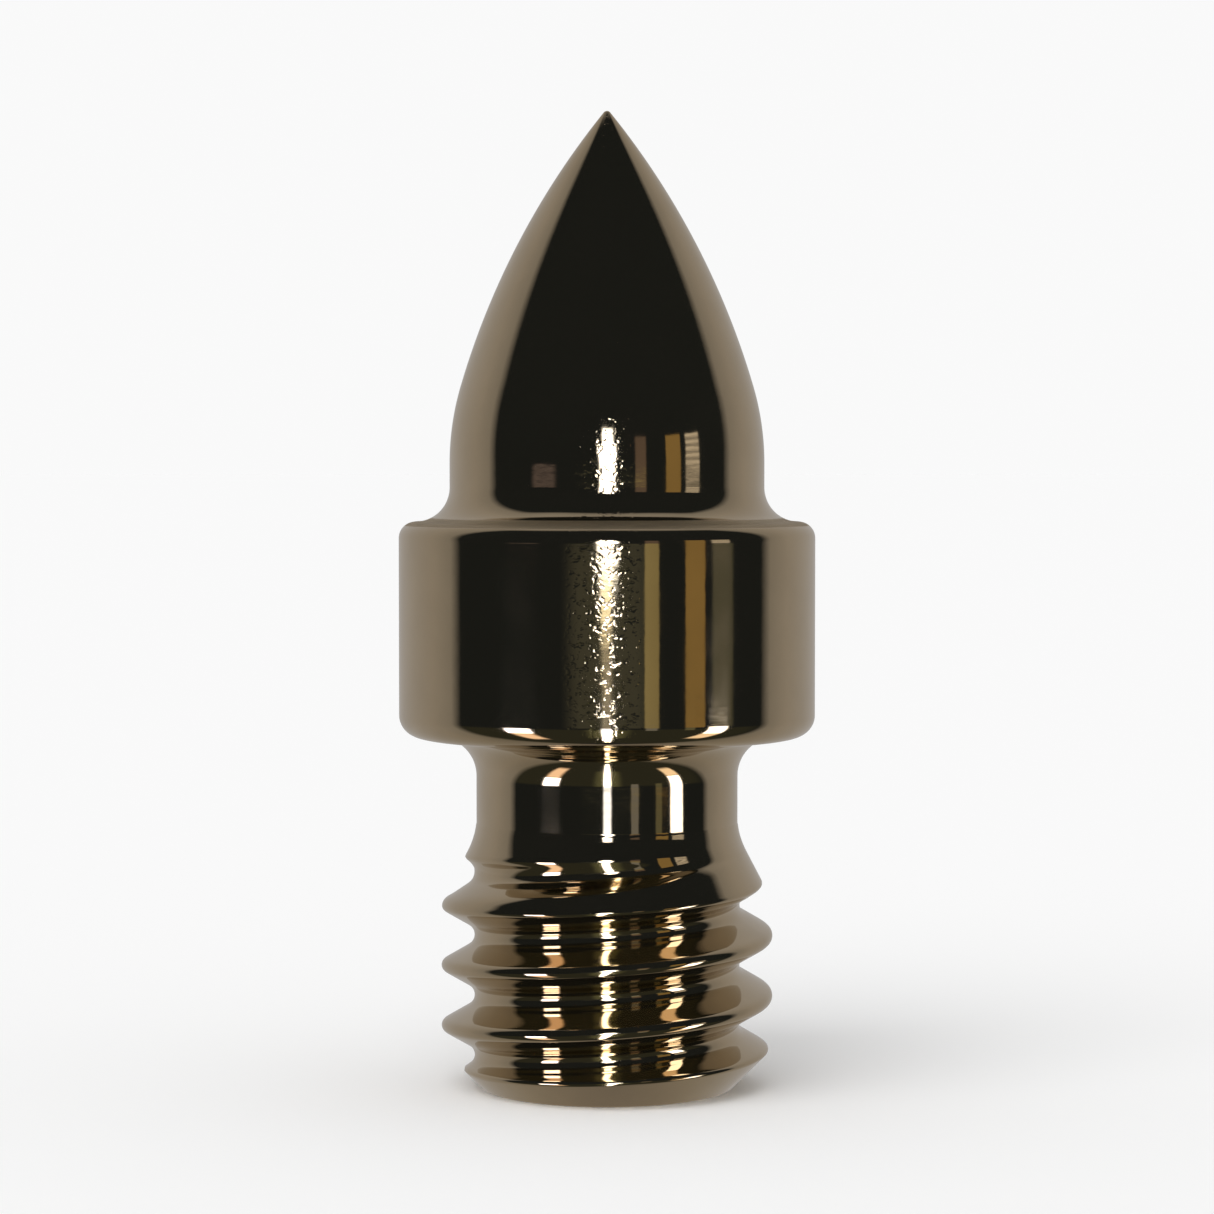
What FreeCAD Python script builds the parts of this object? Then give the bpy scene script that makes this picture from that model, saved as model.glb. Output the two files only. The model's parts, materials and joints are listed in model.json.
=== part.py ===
# Screw-in steel point of a plumb bob, turned from one bar and plated.
#
# From the bottom up: a threaded stud with a chamfered end, a plain undercut
# neck, a cylindrical collar that seats against the bob's body, and a pointed
# ogive nose. Z is the turning axis and z = 0 is the stud's end face, so the
# point stands on its stud with the tip up. Sizes are in millimetres.
import FreeCAD, Part
import math
import os

# Heights along the axis
STUD_LENGTH = 8.23
COLLAR_HEIGHT = 5.00
NOSE_LENGTH = 9.53

# Collar: the cylinder that a hand or a soft-jawed wrench turns
COLLAR_R = 4.85
COLLAR_TOP_EDGE_R = 0.38
COLLAR_BOTTOM_EDGE_R = 0.50

# Nose: a small ball tip, a long arc, then a tighter arc into a short cylinder
NOSE_BASE_R = 3.665
TIP_R = 0.10
TIP_HALF_ANGLE = 39.0
NOSE_ARC_R = 18.25
NOSE_BLEND_R = 6.35

# Neck: the plain undercut between the collar and the thread
NECK_R = 3.05
NECK_FILLET_R = 0.93
NECK_BOTTOM_Z = 5.93

# Thread: 5/16-18 UNC external, right hand, 60 degree flanks, rounded root
PITCH = 25.4 / 18
MAJOR_R = 3.90
ROOT_R = 3.10
ROOT_ROUNDING_R = 0.269
FLANK_HALF_ANGLE = 30.0
CREST_Z_AT_PLUS_X = 3.573

# Ends of the thread: a taper up to the neck and a chamfered start
RUN_IN_BOTTOM_Z = 4.30
END_CHAMFER = 0.97
END_EDGE_R = 0.12

# The thread cutter reaches past the crests, and past both ends of the thread
CUTTER_OUTER_R = MAJOR_R + 0.10
CUTTER_BOTTOM_Z = -0.70
CUTTER_TOP_Z = 6.20

# Heights that follow from the lengths above
SHOULDER_Z = STUD_LENGTH
COLLAR_TOP_Z = SHOULDER_Z + COLLAR_HEIGHT
TIP_Z = COLLAR_TOP_Z + NOSE_LENGTH


def at(r, z):
    """The point at radius r and height z in the half plane that is revolved."""
    return FreeCAD.Vector(r, 0, z)


def arc(centre_r, centre_z, radius, start_deg, end_deg):
    """An arc in the half plane, its angles counted from the outward direction."""

    def on_circle(degrees):
        angle = math.radians(degrees)
        return at(centre_r + radius * math.cos(angle), centre_z + radius * math.sin(angle))

    middle_deg = (start_deg + end_deg) / 2
    return Part.Arc(on_circle(start_deg), on_circle(middle_deg), on_circle(end_deg)).toShape()


def nose_arcs():
    """Tip, long arc and blend arc from the apex down, each tangent to the next."""
    tip_angle = math.radians(TIP_HALF_ANGLE)
    tip_centre_z = TIP_Z - TIP_R
    long_centre_r = (TIP_R - NOSE_ARC_R) * math.cos(tip_angle)
    long_centre_z = tip_centre_z + (TIP_R - NOSE_ARC_R) * math.sin(tip_angle)
    # The blend arc is inside the long arc, touches it, and ends upright at the base radius.
    blend_centre_r = NOSE_BASE_R - NOSE_BLEND_R
    blend_angle = math.acos((blend_centre_r - long_centre_r) / (NOSE_ARC_R - NOSE_BLEND_R))
    blend_deg = math.degrees(blend_angle)
    blend_centre_z = long_centre_z + (NOSE_ARC_R - NOSE_BLEND_R) * math.sin(blend_angle)
    return [
        arc(0, tip_centre_z, TIP_R, 90, TIP_HALF_ANGLE),
        arc(long_centre_r, long_centre_z, NOSE_ARC_R, TIP_HALF_ANGLE, blend_deg),
        arc(blend_centre_r, blend_centre_z, NOSE_BLEND_R, blend_deg, 0),
    ]


def collar_arcs():
    """The fillets on both sides of the collar and the rounding of its two edges."""
    # The upper fillet runs straight into the edge rounding, with no flat between them.
    nose_fillet_r = COLLAR_R - COLLAR_TOP_EDGE_R - NOSE_BASE_R
    top_edge_z = COLLAR_TOP_Z - COLLAR_TOP_EDGE_R
    bottom_edge_r = COLLAR_R - COLLAR_BOTTOM_EDGE_R
    bottom_edge_z = SHOULDER_Z + COLLAR_BOTTOM_EDGE_R
    neck_fillet_z = SHOULDER_Z - NECK_FILLET_R
    return [
        arc(NOSE_BASE_R + nose_fillet_r, COLLAR_TOP_Z + nose_fillet_r, nose_fillet_r, 180, 270),
        arc(COLLAR_R - COLLAR_TOP_EDGE_R, top_edge_z, COLLAR_TOP_EDGE_R, 90, 0),
        arc(bottom_edge_r, bottom_edge_z, COLLAR_BOTTOM_EDGE_R, 0, -90),
        arc(NECK_R + NECK_FILLET_R, neck_fillet_z, NECK_FILLET_R, 90, 180),
    ]


def stud_outline():
    """Straight edges and the small end rounding from the neck down to the end face."""
    end_tangent = END_EDGE_R * math.tan(math.radians(45 / 2))
    end_corner_r = MAJOR_R - END_CHAMFER
    end_rounding_r = end_corner_r - end_tangent
    chamfer_top = at(MAJOR_R, END_CHAMFER)
    end_rounding = arc(end_rounding_r, END_EDGE_R, END_EDGE_R, -45, -90)
    return [
        Part.makeLine(at(NECK_R, NECK_BOTTOM_Z), at(MAJOR_R, RUN_IN_BOTTOM_Z)),
        Part.makeLine(at(MAJOR_R, RUN_IN_BOTTOM_Z), chamfer_top),
        end_rounding,
    ]


def joined_face(edges):
    """A face bounded by these edges in order, with straight edges across every gap."""
    closed = []
    for edge, following in zip(edges, edges[1:] + edges[:1]):
        closed.append(edge)
        leaves = edge.valueAt(edge.LastParameter)
        meets = following.valueAt(following.FirstParameter)
        if leaves.distanceToPoint(meets) > 1e-6:
            closed.append(Part.makeLine(leaves, meets))
    return Part.Face(Part.Wire(closed))


def turned_blank():
    """The whole point as it leaves the lathe, before the thread is cut."""
    axis_line = Part.makeLine(at(0, 0), at(0, TIP_Z))
    outline = nose_arcs() + collar_arcs() + stud_outline() + [axis_line]
    return joined_face(outline).revolve(at(0, 0), FreeCAD.Vector(0, 0, 1), 360)


def half_turn_cutter():
    """Half a turn of the thread's groove, centred at height 0 where it starts, on +X."""
    flank = math.radians(FLANK_HALF_ANGLE)
    sharp_root_r = ROOT_R - ROOT_ROUNDING_R * (1 / math.sin(flank) - 1)
    outer_half_width = (CUTTER_OUTER_R - sharp_root_r) * math.tan(flank)
    # The root's arc ends where it is tangent to the flanks.
    tangent_deg = 90 - FLANK_HALF_ANGLE
    root_centre_r = ROOT_R + ROOT_ROUNDING_R
    root = arc(root_centre_r, 0, ROOT_ROUNDING_R, 180 - tangent_deg, 180 + tangent_deg)
    outer_line = Part.makeLine(
        at(CUTTER_OUTER_R, -outer_half_width),
        at(CUTTER_OUTER_R, outer_half_width),
    )
    profile = joined_face([root, outer_line]).OuterWire
    helix = Part.makeHelix(PITCH, PITCH / 2, ROOT_R)
    return helix.makePipeShell([profile], True, True)


def threaded(blank):
    """The blank with its groove cut half a turn at a time, which keeps each cut simple."""
    cutter = half_turn_cutter()
    # The groove is centred half a pitch from the crest on +X.
    groove_z = CREST_Z_AT_PLUS_X + PITCH / 2
    first = math.floor((CUTTER_BOTTOM_Z - groove_z) / (PITCH / 2))
    last = math.ceil((CUTTER_TOP_Z - groove_z) / (PITCH / 2))
    for half_turn in range(first, last):
        placed = cutter.copy()
        placed.rotate(at(0, 0), FreeCAD.Vector(0, 0, 1), 180 * half_turn)
        placed.translate(at(0, groove_z + half_turn * PITCH / 2))
        blank = blank.cut(placed)
    return blank


os.makedirs("parts", exist_ok=True)
point = threaded(turned_blank())
point.exportStep("parts/plumb_bob_point.step")
print("valid", point.isValid(), "solids", len(point.Solids), "volume mm3", round(point.Volume, 3))
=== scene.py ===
# Looks of the screw-in point of a plumb bob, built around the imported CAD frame.
#
# The point is one turned and plated steel piece. Its surface is rebuilt here as a
# fine mesh with the CAD's own sizes, because mirror-bright metal shows every facet.
import json
import math

import bpy
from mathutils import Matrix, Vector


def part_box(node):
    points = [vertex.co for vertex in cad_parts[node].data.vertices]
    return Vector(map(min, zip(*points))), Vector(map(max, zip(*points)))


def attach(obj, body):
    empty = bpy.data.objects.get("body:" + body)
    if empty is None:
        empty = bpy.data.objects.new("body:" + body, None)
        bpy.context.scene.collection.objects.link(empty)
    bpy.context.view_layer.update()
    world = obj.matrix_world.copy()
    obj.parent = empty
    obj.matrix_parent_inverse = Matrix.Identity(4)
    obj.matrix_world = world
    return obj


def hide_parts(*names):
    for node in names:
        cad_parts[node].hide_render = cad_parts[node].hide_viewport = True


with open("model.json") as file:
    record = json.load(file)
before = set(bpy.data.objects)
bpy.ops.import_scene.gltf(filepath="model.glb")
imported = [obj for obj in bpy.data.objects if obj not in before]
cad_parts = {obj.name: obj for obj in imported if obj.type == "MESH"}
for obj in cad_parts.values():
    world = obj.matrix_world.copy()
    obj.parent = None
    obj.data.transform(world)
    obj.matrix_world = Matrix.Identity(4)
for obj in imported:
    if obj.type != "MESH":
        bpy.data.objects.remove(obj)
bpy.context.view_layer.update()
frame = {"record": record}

MM = 0.001
NODE = "plumb_bob_point"

# ---------------------------------------------------------------------------
# Sizes, in millimetres: the frame gives the main ones, the rest are the CAD's
# ---------------------------------------------------------------------------
low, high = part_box(NODE)
mounts = {mount["name"]: mount for mount in frame["record"]["mounts"]}

TIP_Z = high.z / MM
COLLAR_R = (high.x - low.x) / 2 / MM
SHOULDER_Z = mounts["shoulder_seat"]["pos_m"][2] / MM
MAJOR_R = mounts["stud_thread"]["dims"]["r_mm"]
NECK_BOTTOM_Z = mounts["stud_thread"]["dims"]["length_mm"]

COLLAR_HEIGHT = 5.00
COLLAR_TOP_Z = SHOULDER_Z + COLLAR_HEIGHT
COLLAR_TOP_EDGE_R = 0.38
COLLAR_BOTTOM_EDGE_R = 0.50
NOSE_BASE_R = 3.665
TIP_R = 0.10
TIP_HALF_ANGLE = 39.0
NOSE_ARC_R = 18.25
NOSE_BLEND_R = 6.35
NECK_R = 3.05
NECK_FILLET_R = 0.93

PITCH = 25.4 / 18
ROOT_R = 3.10
ROOT_ROUNDING_R = 0.269
FLANK_HALF_ANGLE = math.radians(30)
CREST_Z_AT_PLUS_X = 3.573
RUN_IN_BOTTOM_Z = 4.30
END_CHAMFER = 0.97
END_EDGE_R = 0.12

# Where the turned surface hands over to the threaded one, at both ends of the stud
THREAD_LOW_Z = END_EDGE_R * (1 - math.cos(math.radians(45)))
THREAD_HIGH_Z = NECK_BOTTOM_Z + 0.27

# How fine the mesh is: columns round the axis, rows on the thread, steps along each arc
SEGMENTS = 288
ROWS_PER_PITCH = 40
ROW_CROWDING = 0.6
ROW_MARGIN = 0.3
SUPPORT_GAP = 0.03
END_EDGE_STEPS = 6
NECK_FILLET_STEPS = 26
BOTTOM_EDGE_STEPS = 18
TOP_EDGE_STEPS = 16
NOSE_FILLET_STEPS = 22
NOSE_BLEND_STEPS = 22
NOSE_ARC_STEPS = 28
TIP_STEPS = 8
# The tip's last ring is at this angle, and a fan of triangles closes the rest
TIP_RING_DEG = 84

# How far sharp corners of the stud are softened, as a difference of radii
CREST_SOFTENING = 0.16
END_SOFTENING = 0.10
EDGE_SOFTENING = 0.12
RUN_IN_SOFTENING = 0.22

# From these heights up, the groove is drawn out upwards, and gets shallower as the tool
# backs off: millimetres of each for every millimetre climbed.
DRAG_Z = 4.55
DRAG = 0.15
BACK_OFF_Z = 5.15
BACK_OFF_SLOPE = 0.25


# ---------------------------------------------------------------------------
# Shape
# ---------------------------------------------------------------------------
def smooth_min(a, b, softening):
    """The smaller of two radii, with the corner where they cross rounded off."""
    overlap = max(softening - abs(a - b), 0)
    return min(a, b) - overlap * overlap / (4 * softening)


def smooth_max(a, b, softening):
    """The larger of two radii, with the corner rounded off in the same way."""
    return -smooth_min(-a, -b, softening)


def arc(centre_r, centre_z, radius, start_deg, end_deg, steps):
    """Points (r, z) along an arc, its angles counted from the outward direction."""
    points = []
    for step in range(steps + 1):
        angle = math.radians(start_deg + (end_deg - start_deg) * step / steps)
        points.append((centre_r + radius * math.cos(angle), centre_z + radius * math.sin(angle)))
    return points


def straight(start, end):
    """Two points just inside the ends of a straight stretch between arcs.

    Smooth shading bends only near a row of corners, so these keep the stretch truly straight.
    """
    (start_r, start_z), (end_r, end_z) = start, end
    share = SUPPORT_GAP / math.hypot(end_r - start_r, end_z - start_z)
    return [(start_r + (end_r - start_r) * at, start_z + (end_z - start_z) * at)
            for at in (share, 1 - share)]


def end_outline():
    """The flat end face and its small rounding, up to where the thread begins."""
    rounding_centre_r = MAJOR_R - END_CHAMFER - END_EDGE_R * math.tan(math.radians(45 / 2))
    face = straight((0.0, 0.0), (rounding_centre_r, 0.0))[1:]
    return face + arc(rounding_centre_r, END_EDGE_R, END_EDGE_R, -90, -45, END_EDGE_STEPS)


def neck_and_collar_outline():
    """From the top of the thread up the neck, round the collar and into the nose."""
    nose_fillet_r = COLLAR_R - COLLAR_TOP_EDGE_R - NOSE_BASE_R
    neck_fillet_z = SHOULDER_Z - NECK_FILLET_R
    top_edge_z = COLLAR_TOP_Z - COLLAR_TOP_EDGE_R
    bottom_edge_z = SHOULDER_Z + COLLAR_BOTTOM_EDGE_R
    nose_fillet_z = COLLAR_TOP_Z + nose_fillet_r
    neck_fillet = arc(
        NECK_R + NECK_FILLET_R, neck_fillet_z, NECK_FILLET_R, 180, 90, NECK_FILLET_STEPS
    )
    bottom_edge = arc(
        COLLAR_R - COLLAR_BOTTOM_EDGE_R, bottom_edge_z,
        COLLAR_BOTTOM_EDGE_R, -90, 0, BOTTOM_EDGE_STEPS,
    )
    top_edge = arc(
        COLLAR_R - COLLAR_TOP_EDGE_R, top_edge_z, COLLAR_TOP_EDGE_R, 0, 90, TOP_EDGE_STEPS
    )
    nose_fillet = arc(
        NOSE_BASE_R + nose_fillet_r, nose_fillet_z, nose_fillet_r, 270, 180, NOSE_FILLET_STEPS
    )
    neck_start = (NECK_R, THREAD_HIGH_Z)
    return [
        neck_start,
        *straight(neck_start, neck_fillet[0]),
        *neck_fillet,
        *straight(neck_fillet[-1], bottom_edge[0]),
        *bottom_edge,
        *straight(bottom_edge[-1], top_edge[0]),
        *top_edge,
        *nose_fillet[1:],
    ]


def nose_outline():
    """Blend arc, long arc and ball tip, each tangent to the next, up to just below the apex."""
    tip_angle = math.radians(TIP_HALF_ANGLE)
    tip_centre_z = TIP_Z - TIP_R
    long_centre_r = (TIP_R - NOSE_ARC_R) * math.cos(tip_angle)
    long_centre_z = tip_centre_z + (TIP_R - NOSE_ARC_R) * math.sin(tip_angle)
    blend_centre_r = NOSE_BASE_R - NOSE_BLEND_R
    blend_angle = math.acos((blend_centre_r - long_centre_r) / (NOSE_ARC_R - NOSE_BLEND_R))
    blend_centre_z = long_centre_z + (NOSE_ARC_R - NOSE_BLEND_R) * math.sin(blend_angle)
    blend_deg = math.degrees(blend_angle)
    blend = arc(blend_centre_r, blend_centre_z, NOSE_BLEND_R, 0, blend_deg, NOSE_BLEND_STEPS)
    long = arc(
        long_centre_r, long_centre_z, NOSE_ARC_R, blend_deg, TIP_HALF_ANGLE, NOSE_ARC_STEPS
    )
    tip = arc(0, tip_centre_z, TIP_R, TIP_HALF_ANGLE, TIP_RING_DEG, TIP_STEPS)
    return blend + long[1:] + tip[1:]


def thread_r(above_crest):
    """The thread's radius at a height above the nearest crest's centre line."""
    from_crest = abs((above_crest + PITCH / 2) % PITCH - PITCH / 2)
    from_root = PITCH / 2 - from_crest
    sharp_root_r = ROOT_R - ROOT_ROUNDING_R * (1 / math.sin(FLANK_HALF_ANGLE) - 1)
    if from_root < ROOT_ROUNDING_R * math.cos(FLANK_HALF_ANGLE):
        return ROOT_R + ROOT_ROUNDING_R - math.sqrt(ROOT_ROUNDING_R ** 2 - from_root ** 2)
    flank_r = sharp_root_r + from_root / math.tan(FLANK_HALF_ANGLE)
    return smooth_min(flank_r, MAJOR_R, CREST_SOFTENING)


def stud_r(angle, z):
    """The stud's radius: the thread, held inside the end chamfer and the taper to the neck."""
    chamfer_r = MAJOR_R - END_CHAMFER + z
    taper = (MAJOR_R - NECK_R) / (NECK_BOTTOM_Z - RUN_IN_BOTTOM_Z)
    run_in_r = smooth_max(NECK_R + taper * (NECK_BOTTOM_Z - z), NECK_R, RUN_IN_SOFTENING)
    blank_r = smooth_min(smooth_min(chamfer_r, MAJOR_R, END_SOFTENING), run_in_r, END_SOFTENING)
    crest_z = CREST_Z_AT_PLUS_X + PITCH * angle / (2 * math.pi)
    undragged_z = z - DRAG * max(z - DRAG_Z, 0)
    groove_r = thread_r(undragged_z - crest_z) + BACK_OFF_SLOPE * max(z - BACK_OFF_Z, 0)
    return smooth_min(blank_r, groove_r, EDGE_SOFTENING)


class Surface:
    """Collects the points and faces of one closed turned surface, column by column."""

    def __init__(self):
        self.points = []
        self.faces = []
        self.angles = [2 * math.pi * column / SEGMENTS for column in range(SEGMENTS)]

    def add(self, r, angle, z):
        self.points.append((r * math.cos(angle) * MM, r * math.sin(angle) * MM, z * MM))
        return len(self.points) - 1

    def ring(self, r, z):
        """A circle of points round the axis."""
        return [self.add(r, angle, z) for angle in self.angles]

    def band(self, lower, upper):
        """Quads between two rings, facing outward when upper is further along the outline."""
        for column in range(SEGMENTS):
            after = (column + 1) % SEGMENTS
            self.faces.append((lower[column], lower[after], upper[after], upper[column]))

    def rings(self, outline):
        """Rings along an outline, joined to each other. Returns the first and the last."""
        made = [self.ring(r, z) for r, z in outline]
        for lower, upper in zip(made, made[1:]):
            self.band(lower, upper)
        return made[0], made[-1]

    def cap(self, ring, z, facing_down):
        """A fan of triangles from a ring to one point on the axis."""
        centre = self.add(0, 0, z)
        for column in range(SEGMENTS):
            after = (column + 1) % SEGMENTS
            face = (ring[column], ring[after], centre)
            self.faces.append(face[::-1] if facing_down else face)


def thread_columns(surface, lower, upper):
    """Fills the stud between two rings with rows that follow the thread's helix.

    Each row keeps its place on the thread's form, so the crests stay crisp. A row is
    numbered once for the whole helix: after one full circle it is a whole pitch higher.
    """
    first_turn = math.floor((THREAD_LOW_Z - CREST_Z_AT_PLUS_X) / PITCH) - 1
    last_turn = math.ceil((THREAD_HIGH_Z - CREST_Z_AT_PLUS_X) / PITCH) + 1
    margin = ROW_MARGIN * PITCH / ROWS_PER_PITCH
    columns = []
    for angle in surface.angles:
        rows = {}
        for row in range(first_turn * ROWS_PER_PITCH, last_turn * ROWS_PER_PITCH):
            share = row / ROWS_PER_PITCH
            # Rows crowd together at the crests and roots, where the form turns fastest.
            share -= ROW_CROWDING * math.sin(4 * math.pi * share) / (4 * math.pi)
            z = CREST_Z_AT_PLUS_X + PITCH * (share + angle / (2 * math.pi))
            if THREAD_LOW_Z + margin < z < THREAD_HIGH_Z - margin:
                rows[row] = surface.add(stud_r(angle, z), angle, z)
        columns.append(rows)
    for column, rows in enumerate(columns):
        after = (column + 1) % SEGMENTS
        next_rows = columns[after]
        if after == 0:
            next_rows = {row - ROWS_PER_PITCH: point for row, point in next_rows.items()}
        shared = sorted(set(rows) & set(next_rows))
        for row in shared[:-1]:
            surface.faces.append(
                (rows[row], next_rows[row], next_rows[row + 1], rows[row + 1])
            )
        # One wider face at each end takes up the rows that only one of the columns has.
        first, last = shared[0], shared[-1]
        left = [rows[row] for row in sorted(rows, reverse=True) if row <= first]
        right = [next_rows[row] for row in sorted(next_rows) if row <= first]
        surface.faces.append((lower[column], lower[after], *right, *left))
        left = [rows[row] for row in sorted(rows, reverse=True) if row >= last]
        right = [next_rows[row] for row in sorted(next_rows) if row >= last]
        surface.faces.append((*right, upper[after], upper[column], *left))


def build_point():
    """The whole point as one closed, smooth-shaded mesh."""
    surface = Surface()
    end_ring, thread_start = surface.rings(end_outline())
    lower, nose = neck_and_collar_outline(), nose_outline()
    thread_end, apex_ring = surface.rings(lower + straight(lower[-1], nose[0]) + nose)
    surface.cap(end_ring, 0.0, facing_down=True)
    surface.cap(apex_ring, TIP_Z, facing_down=False)
    thread_columns(surface, thread_start, thread_end)
    mesh = bpy.data.meshes.new("polished_point")
    mesh.from_pydata(surface.points, [], surface.faces)
    mesh.validate()
    mesh.shade_smooth()
    piece = bpy.data.objects.new("polished_point", mesh)
    bpy.context.scene.collection.objects.link(piece)
    return piece


# ---------------------------------------------------------------------------
# Node helpers
# ---------------------------------------------------------------------------
class Nodes:
    """Short ways to add nodes to one tree. Inputs are numbers, tuples or output sockets."""

    def __init__(self, tree):
        self.tree = tree

    def add(self, kind, settings=None, **inputs):
        """A node with its settings and inputs. _0, _1 and so on are inputs by number."""
        node = self.tree.nodes.new(kind)
        for name, value in (settings or {}).items():
            setattr(node, name, value)
        for name, value in inputs.items():
            socket = node.inputs[int(name[1:])] if name[1:].isdigit() else node.inputs[name]
            if isinstance(value, bpy.types.NodeSocket):
                self.tree.links.new(value, socket)
            else:
                socket.default_value = value
        return node

    def math(self, operation, a, b=0.0, c=0.0):
        """The result of a Math node."""
        node = self.add("ShaderNodeMath", {"operation": operation}, _0=a, _1=b, _2=c)
        return node.outputs[0]

    def step(self, value, start, end, start_value=0.0, end_value=1.0):
        """A smooth step from one value to another."""
        node = self.add("ShaderNodeMapRange", {"interpolation_type": "SMOOTHSTEP"},
                        _0=value, _1=start, _2=end, _3=start_value, _4=end_value)
        return node.outputs[0]

    def window(self, value, low, high, softness):
        """1 between low and high, 0 outside, with soft edges."""
        rise = self.step(value, low - softness / 2, low + softness / 2)
        fall = self.step(value, high - softness / 2, high + softness / 2, 1.0, 0.0)
        return self.math("MULTIPLY", rise, fall)

    def scaled(self, vector, scale):
        """A vector times a number."""
        node = self.add("ShaderNodeVectorMath", {"operation": "SCALE"}, _0=vector, Scale=scale)
        return node.outputs[0]

    def ramp(self, value, stops):
        """A colour that runs through stops of (position, colour) as the value rises."""
        node = self.add("ShaderNodeValToRGB", Fac=value)
        elements = node.color_ramp.elements
        while len(elements) < len(stops):
            elements.new(0.5)
        for element, (position, colour) in zip(elements, stops):
            element.position = position
            element.color = (*colour, 1)
        return node.outputs["Color"]

    def total(self, vectors):
        """The sum of several vectors."""
        result = vectors[0]
        for vector in vectors[1:]:
            node = self.add("ShaderNodeVectorMath", {"operation": "ADD"}, _0=result, _1=vector)
            result = node.outputs[0]
        return result


# ---------------------------------------------------------------------------
# Material
# ---------------------------------------------------------------------------
PLATING = (0.58, 0.49, 0.36)
# What handling leaves of the plating's brightness
DULLED = 0.94
ROUGHNESS = (0.045, 0.075)
LEDGE_ROUGHNESS = 0.5

# Marks in the surface: how deep they are in millimetres, and how many to a millimetre
MARK_DEPTH = 0.0004
MARKS_PER_MM = (3.0, 3.0, 8.0)
PEEL_DEPTH = 0.0006
PEEL_PER_MM = 3.0
PIT_DEPTH = 0.0030
PITS_PER_MM = 5.0
PIT_EDGE = (0.06, 0.26)
GRAIN_DEPTH = 0.0018
GRAINS_PER_MM = 7.5
PATCHES_PER_MM = 0.35
SMEARS_PER_MM = 0.9

# The noise levels between which each kind of mark goes from none to full
GRAIN_LEVELS = (0.50, 0.76)
PIT_LEVELS = (0.1, 1.0)
PATCH_LEVELS = (0.5, 0.6)
SMEAR_LEVELS = (0.35, 0.75)
TINT_LEVELS = (0.35, 0.7)

# The most handled stretch of the collar and nose: degrees round the axis from -Y
WORN_SIDE = (-11.0, 8.5)
WORN_FADE = 3.0
# Where wear starts above the stud, and where its patches start on the far side, in millimetres
ABOVE_STUD = (SHOULDER_Z, SHOULDER_Z + 0.5)
FAR_SIDE = (0.5, 2.0)
# The ledge above the collar, where the polishing wheel couldn't reach
DULL_LEDGE = (COLLAR_TOP_Z - 0.09, COLLAR_TOP_Z + 0.09)
LEDGE_FADE = 0.05


def wear_mask(nodes, in_mm):
    """1 on the worn side of the collar and nose and in patches behind, 0 elsewhere."""
    x, y, z = nodes.add("ShaderNodeSeparateXYZ", _0=in_mm).outputs
    around = nodes.math("DEGREES", nodes.math("ARCTAN2", x, nodes.math("MULTIPLY", y, -1.0)))
    front = nodes.window(around, *WORN_SIDE, WORN_FADE)
    patches = nodes.add("ShaderNodeTexNoise", Vector=in_mm, Scale=PATCHES_PER_MM, Detail=1.0)
    patch = nodes.math("MULTIPLY", nodes.step(patches.outputs[0], *PATCH_LEVELS),
                       nodes.step(y, *FAR_SIDE))
    return nodes.math("MULTIPLY", nodes.math("MAXIMUM", front, patch), nodes.step(z, *ABOVE_STUD))


def marks_height(nodes, in_mm, worn):
    """The height of the polishing marks and the wear, in millimetres."""
    # Polishing marks run round the axis, so they are short in z and long the other ways.
    stretched = nodes.add("ShaderNodeMapping", _0=in_mm, _3=MARKS_PER_MM).outputs[0]
    marks = nodes.add("ShaderNodeTexNoise", Vector=stretched, Scale=1.0, Detail=2.0)
    peel = nodes.add("ShaderNodeTexNoise", Vector=in_mm, Scale=PEEL_PER_MM, Detail=1.0)
    grain = nodes.add("ShaderNodeTexNoise", Vector=in_mm, Scale=GRAINS_PER_MM, Detail=1.5)
    grain = nodes.step(grain.outputs[0], *GRAIN_LEVELS)
    pits = nodes.add("ShaderNodeTexVoronoi", Vector=in_mm, Scale=PITS_PER_MM)
    pit_size = nodes.add("ShaderNodeSeparateColor", _0=pits.outputs["Color"]).outputs[0]
    pit_edge = nodes.step(pit_size, *PIT_LEVELS, *PIT_EDGE)
    pit = nodes.math("SUBTRACT", 1.0, nodes.math("DIVIDE", pits.outputs["Distance"], pit_edge))
    pit = nodes.math("MAXIMUM", pit, 0.0)
    wear = nodes.math("MULTIPLY", grain, -GRAIN_DEPTH)
    wear = nodes.math("MULTIPLY_ADD", pit, -PIT_DEPTH, wear)
    height = nodes.math("MULTIPLY", marks.outputs[0], MARK_DEPTH)
    height = nodes.math("MULTIPLY_ADD", peel.outputs[0], PEEL_DEPTH, height)
    return nodes.math("MULTIPLY_ADD", wear, worn, height)


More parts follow.
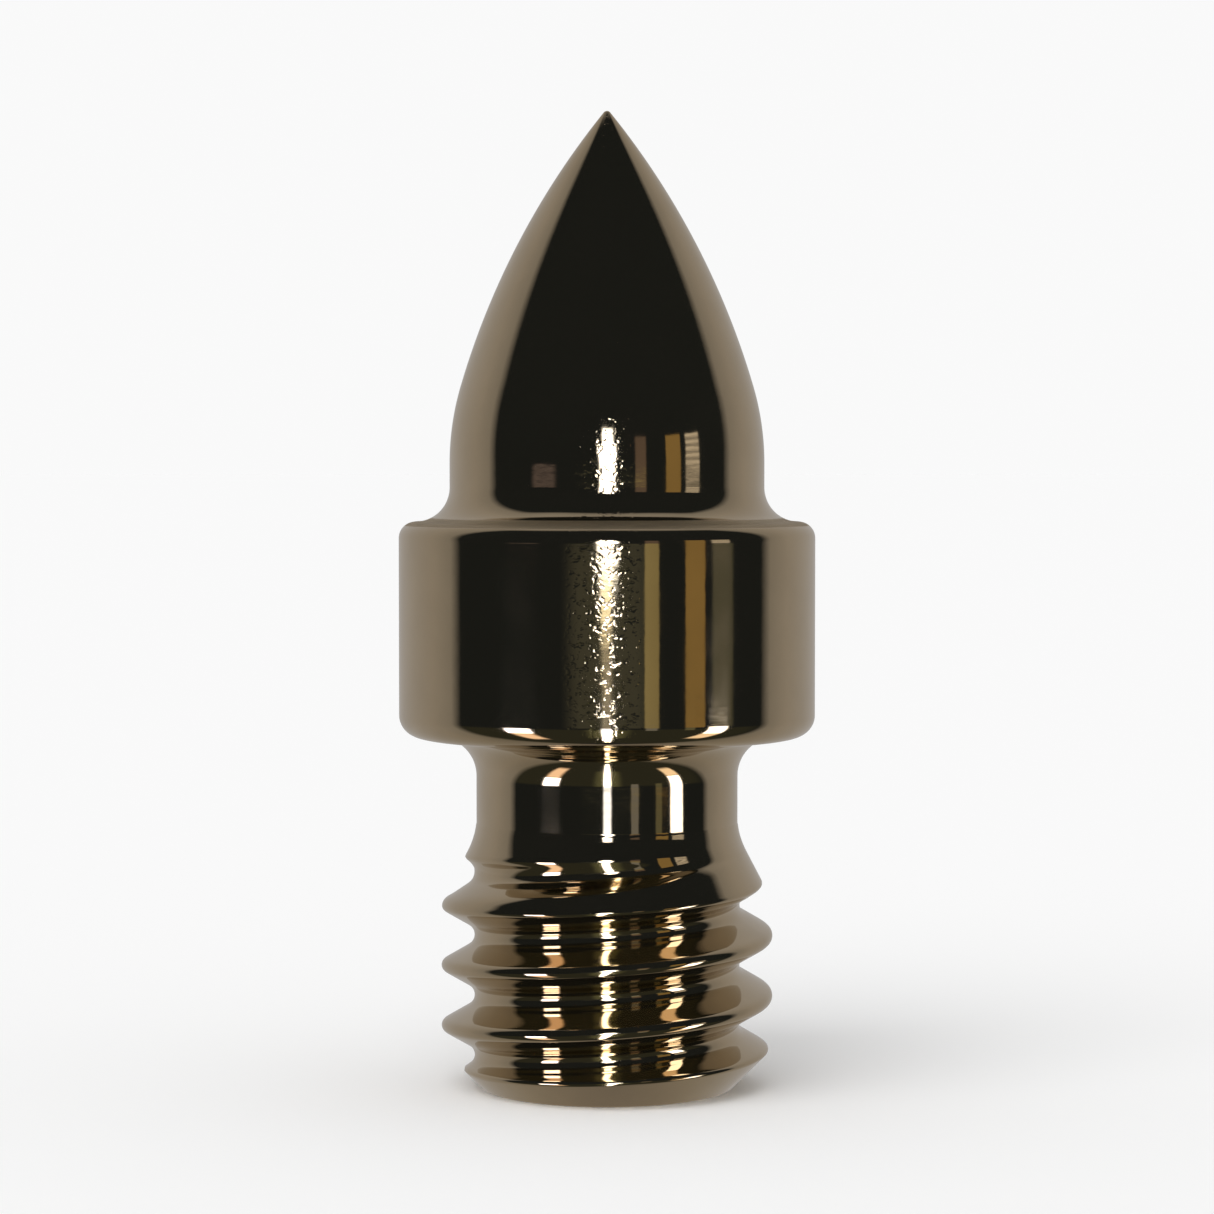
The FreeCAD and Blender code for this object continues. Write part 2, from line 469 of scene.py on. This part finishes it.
def plated_steel():
    """Bright, warm plating: mirror smooth, with fine marks round it and a worn, pitted side."""
    material = bpy.data.materials.new("plated_steel")
    material.use_nodes = True
    nodes = Nodes(material.node_tree)
    links = material.node_tree.links
    shader = material.node_tree.nodes["Principled BSDF"]
    shader.inputs["Metallic"].default_value = 1.0
    place = nodes.add("ShaderNodeTexCoord").outputs["Object"]
    in_mm = nodes.scaled(place, 1 / MM)

    height = marks_height(nodes, in_mm, wear_mask(nodes, in_mm))
    bump = nodes.add("ShaderNodeBump", Height=height, Distance=MM)
    links.new(bump.outputs["Normal"], shader.inputs["Normal"])

    # Handling has dulled the plating unevenly, and tinted it by a trace.
    smears = nodes.add("ShaderNodeTexNoise", Vector=in_mm, Scale=SMEARS_PER_MM, Detail=4.0)
    roughness = nodes.step(smears.outputs[0], *SMEAR_LEVELS, *ROUGHNESS)
    z = nodes.add("ShaderNodeSeparateXYZ", _0=in_mm).outputs[2]
    ledge = nodes.window(z, *DULL_LEDGE, LEDGE_FADE)
    roughness = nodes.math("MULTIPLY_ADD", ledge, LEDGE_ROUGHNESS, roughness)
    links.new(roughness, shader.inputs["Roughness"])
    dulled = tuple(DULLED * part for part in PLATING)
    tint = nodes.ramp(smears.outputs[0], tuple(zip(TINT_LEVELS, (PLATING, dulled))))
    links.new(tint, shader.inputs["Base Color"])
    return material


# ---------------------------------------------------------------------------
# Light, floor and camera
# ---------------------------------------------------------------------------
# What the metal reflects. Azimuth runs round the axis, 0 towards the camera and positive
# to its right; elevation is above the horizon; both are in degrees, from and to.
DARK_FRONT = (0.0158, 0.0185, 0.0190)
# The wall's edge lies further back to the right and higher up, until it bends overhead:
# between these sines of the elevation it comes forward again by this much.
WALL_LEAN_X = -0.05
WALL_LEAN_Z = -0.12
OVERHEAD = (0.85, 1.0)
OVERHEAD_BEND = 0.25
# The wall's radiance, from its edge to straight behind
WALL_STOPS = (
    (0.01, (0.0, 0.0, 0.0)),
    (0.14, (0.285, 0.262, 0.235)),
    (0.42, (0.370, 0.338, 0.305)),
    (0.85, (0.425, 0.405, 0.390)),
)
# Towards the table the wall darkens and turns olive. Each stop is a share of the way from
# straight down to level, and the tone there.
TABLE_STOPS = (
    (0.15, (0.72, 0.69, 0.65)),
    (0.40, (0.80, 0.77, 0.70)),
    (0.80, (1.0, 1.0, 1.0)),
)
PANELS = (
    # azimuth, elevation, softness across and up, radiance
    ((-3.2, 4.0), (5.0, 14.5), (3.0, 2.0), (6.0, 6.0, 6.0)),
    ((-5.0, 6.0), (1.0, 8.0), (3.0, 2.0), (6.0, 6.0, 6.0)),
    ((-5.0, 5.6), (-1.45, 3.2), (2.0, 0.3), (7.0, 7.0, 7.0)),
    ((-3.4, 2.6), (-2.7, -1.35), (2.0, 0.5), (1.9, 1.7, 1.2)),
    ((-2.4, 2.4), (-4.9, -2.6), (2.5, 0.8), (0.26, 0.23, 0.17)),
    ((-20.0, 21.0), (-4.9, -0.9), (12.0, 0.5), (0.055, 0.053, 0.034)),
    ((-3.0, 3.6), (-74.0, -4.9), (2.0, 0.5), (2.4, 2.5, 2.9)),
    ((-2.6, 3.2), (-74.0, -9.0), (2.0, 3.0), (7.0, 6.5, 5.0)),
    ((-10.0, 11.0), (-50.0, -7.5), (9.0, 2.0), (0.10, 0.10, 0.045)),
    ((-90.0, 90.0), (-80.0, -8.0), (20.0, 4.0), (0.020, 0.018, 0.006)),
    ((20.3, 28.2), (-4.9, -0.6), (1.0, 0.6), (0.300, 0.240, 0.100)),
    ((20.3, 28.2), (-0.6, 11.0), (1.5, 1.0), (0.130, 0.088, 0.062)),
    ((21.0, 27.5), (-12.0, -4.9), (1.0, 0.5), (0.20, 0.19, 0.17)),
    ((43.3, 54.8), (-4.9, 11.0), (1.0, 0.8), (0.290, 0.182, 0.050)),
    ((43.3, 49.0), (-12.0, -4.9), (1.0, 0.8), (0.13, 0.12, 0.06)),
    ((59.5, 72.5), (-4.7, -0.8), (2.5, 0.8), (0.085, 0.080, 0.050)),
    ((57.5, 69.5), (-29.0, -4.75), (2.0, 0.35), (4.6, 4.4, 4.3)),
    ((57.0, 70.0), (-50.0, -29.0), (3.0, 8.0), (1.6, 1.2, 0.8)),
    ((-58.0, -43.0), (-26.0, -7.3), (2.5, 1.5), (7.0, 6.8, 7.5)),
    ((-57.0, -44.0), (-54.0, -26.0), (5.0, 8.0), (1.6, 1.1, 0.75)),
    ((-55.0, -38.0), (-0.7, -0.1), (5.0, 0.3), (0.16, 0.12, 0.11)),
)
# A louvred lamp, seen low on the right of the nose, with dark gaps every few degrees
LOUVRES = ((59.0, 70.5), (-0.8, 11.0), (1.5, 1.0), (0.78, 0.68, 0.54))
LOUVRE_SPACING = 2.4
LOUVRE_CONTRAST = 0.35

# The floor gets this share of its light from the world, and the rest from a soft lamp.
WORLD_SHARE = 0.72
FLOOR_RADIANCE = 0.95
FLOOR_HALF_SIZE = 3.0
SUN_TILT = (35.0, -25.0)
SUN_ANGLE = 50.0

# The camera, in millimetres: in front of the axis and above the floor, with its pitch
# downwards in degrees
CAMERA_DISTANCE = 85.0
CAMERA_Z = 14.74
CAMERA_PITCH = 2.36
LENS = 108.1
SENSOR_WIDTH = 36
CLIP_START = 1.0


def panel_mask(nodes, azimuth, elevation, panel):
    """1 inside a panel's window of the sky, 0 outside it."""
    across, up, (soft_across, soft_up), _ = panel
    return nodes.math("MULTIPLY", nodes.window(azimuth, *across, soft_across),
                      nodes.window(elevation, *up, soft_up))


def mirrored_room(nodes):
    """The colour that the metal mirrors in each direction."""
    direction = nodes.add("ShaderNodeTexCoord").outputs["Generated"]
    x, y, z = nodes.add("ShaderNodeSeparateXYZ", _0=direction).outputs
    towards_camera = nodes.math("MULTIPLY", y, -1.0)
    azimuth = nodes.math("DEGREES", nodes.math("ARCTAN2", x, towards_camera))
    elevation = nodes.math("DEGREES", nodes.math("ARCSINE", z))

    leaning = nodes.math("MULTIPLY_ADD", z, WALL_LEAN_Z, y)
    behind = nodes.math("MULTIPLY_ADD", x, WALL_LEAN_X, leaning)
    overhead = nodes.step(z, *OVERHEAD)
    behind = nodes.math("MULTIPLY_ADD", overhead, OVERHEAD_BEND, behind)
    wall = nodes.ramp(behind, WALL_STOPS)
    up_the_wall = nodes.math("MULTIPLY_ADD", elevation, 1 / 90, 1.0)
    tone = nodes.ramp(up_the_wall, TABLE_STOPS)
    toned_wall = nodes.add("ShaderNodeVectorMath", {"operation": "MULTIPLY"},
                           _0=wall, _1=tone).outputs[0]

    seen = [DARK_FRONT, toned_wall]
    for panel in PANELS:
        seen.append(nodes.scaled(panel[3], panel_mask(nodes, azimuth, elevation, panel)))
    turns = nodes.math("MULTIPLY", elevation, 2 * math.pi / LOUVRE_SPACING)
    gaps = nodes.math("MULTIPLY_ADD", nodes.math("SINE", turns),
                      LOUVRE_CONTRAST, 1 - LOUVRE_CONTRAST)
    louvres = nodes.math("MULTIPLY", panel_mask(nodes, azimuth, elevation, LOUVRES), gaps)
    seen.append(nodes.scaled(LOUVRES[3], louvres))
    return nodes.total(seen)


def add_world():
    """White for the eye and the floor, and what the metal mirrors: a room with a warm pale
    wall behind the object, darkness in front of it, and lamps round the camera.
    """
    world = bpy.data.worlds.new("studio")
    bpy.context.scene.world = world
    world.use_nodes = True
    world.node_tree.nodes.clear()
    nodes = Nodes(world.node_tree)
    mirrored = nodes.add("ShaderNodeBackground", Color=mirrored_room(nodes))
    plain = nodes.add("ShaderNodeBackground", Color=(1, 1, 1, 1), Strength=WORLD_SHARE)
    backdrop = nodes.add("ShaderNodeBackground", Color=(1, 1, 1, 1), Strength=FLOOR_RADIANCE)
    path = nodes.add("ShaderNodeLightPath")
    unseen = nodes.add("ShaderNodeMixShader", _0=path.outputs["Is Glossy Ray"],
                       _1=plain.outputs[0], _2=mirrored.outputs[0])
    mix = nodes.add("ShaderNodeMixShader", _0=path.outputs["Is Camera Ray"],
                    _1=unseen.outputs[0], _2=backdrop.outputs[0])
    nodes.add("ShaderNodeOutputWorld", Surface=mix.outputs[0])


def add_sun():
    """A wide, soft lamp overhead, which only the floor sees."""
    data = bpy.data.lights.new("soft_lamp", "SUN")
    data.angle = math.radians(SUN_ANGLE)
    lamp = bpy.data.objects.new("soft_lamp", data)
    bpy.context.scene.collection.objects.link(lamp)
    lamp.rotation_euler = [math.radians(angle) for angle in (*SUN_TILT, 0)]
    facing = math.cos(math.radians(SUN_TILT[0])) * math.cos(math.radians(SUN_TILT[1]))
    data.energy = (1 - WORLD_SHARE) * math.pi / facing
    lamp.visible_glossy = False
    lamp.visible_camera = False


def add_floor():
    """A plain pale floor, which the metal doesn't mirror."""
    half = FLOOR_HALF_SIZE
    mesh = bpy.data.meshes.new("floor")
    corners = [(-half, -half, 0), (half, -half, 0), (half, half, 0), (-half, half, 0)]
    mesh.from_pydata(corners, [], [(0, 1, 2, 3)])
    floor = bpy.data.objects.new("floor", mesh)
    bpy.context.scene.collection.objects.link(floor)
    paint = bpy.data.materials.new("pale_floor")
    paint.use_nodes = True
    shader = paint.node_tree.nodes["Principled BSDF"]
    shader.inputs["Base Color"].default_value = (*[FLOOR_RADIANCE] * 3, 1)
    shader.inputs["Roughness"].default_value = 1.0
    shader.inputs["Specular IOR Level"].default_value = 0.0
    mesh.materials.append(paint)
    floor.visible_glossy = False


def add_camera():
    """In front of the object, looking slightly down."""
    data = bpy.data.cameras.new("camera")
    data.lens = LENS
    data.sensor_width = SENSOR_WIDTH
    data.clip_start = CLIP_START * MM
    camera = bpy.data.objects.new("camera", data)
    bpy.context.scene.collection.objects.link(camera)
    camera.location = (0, -CAMERA_DISTANCE * MM, CAMERA_Z * MM)
    camera.rotation_euler = (math.radians(90 - CAMERA_PITCH), 0, 0)
    bpy.context.scene.camera = camera


point = build_point()
point.data.materials.append(plated_steel())
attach(point, "root")
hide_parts(NODE)

add_world()
add_sun()
add_floor()
add_camera()
bpy.context.scene.view_settings.view_transform = "Standard"
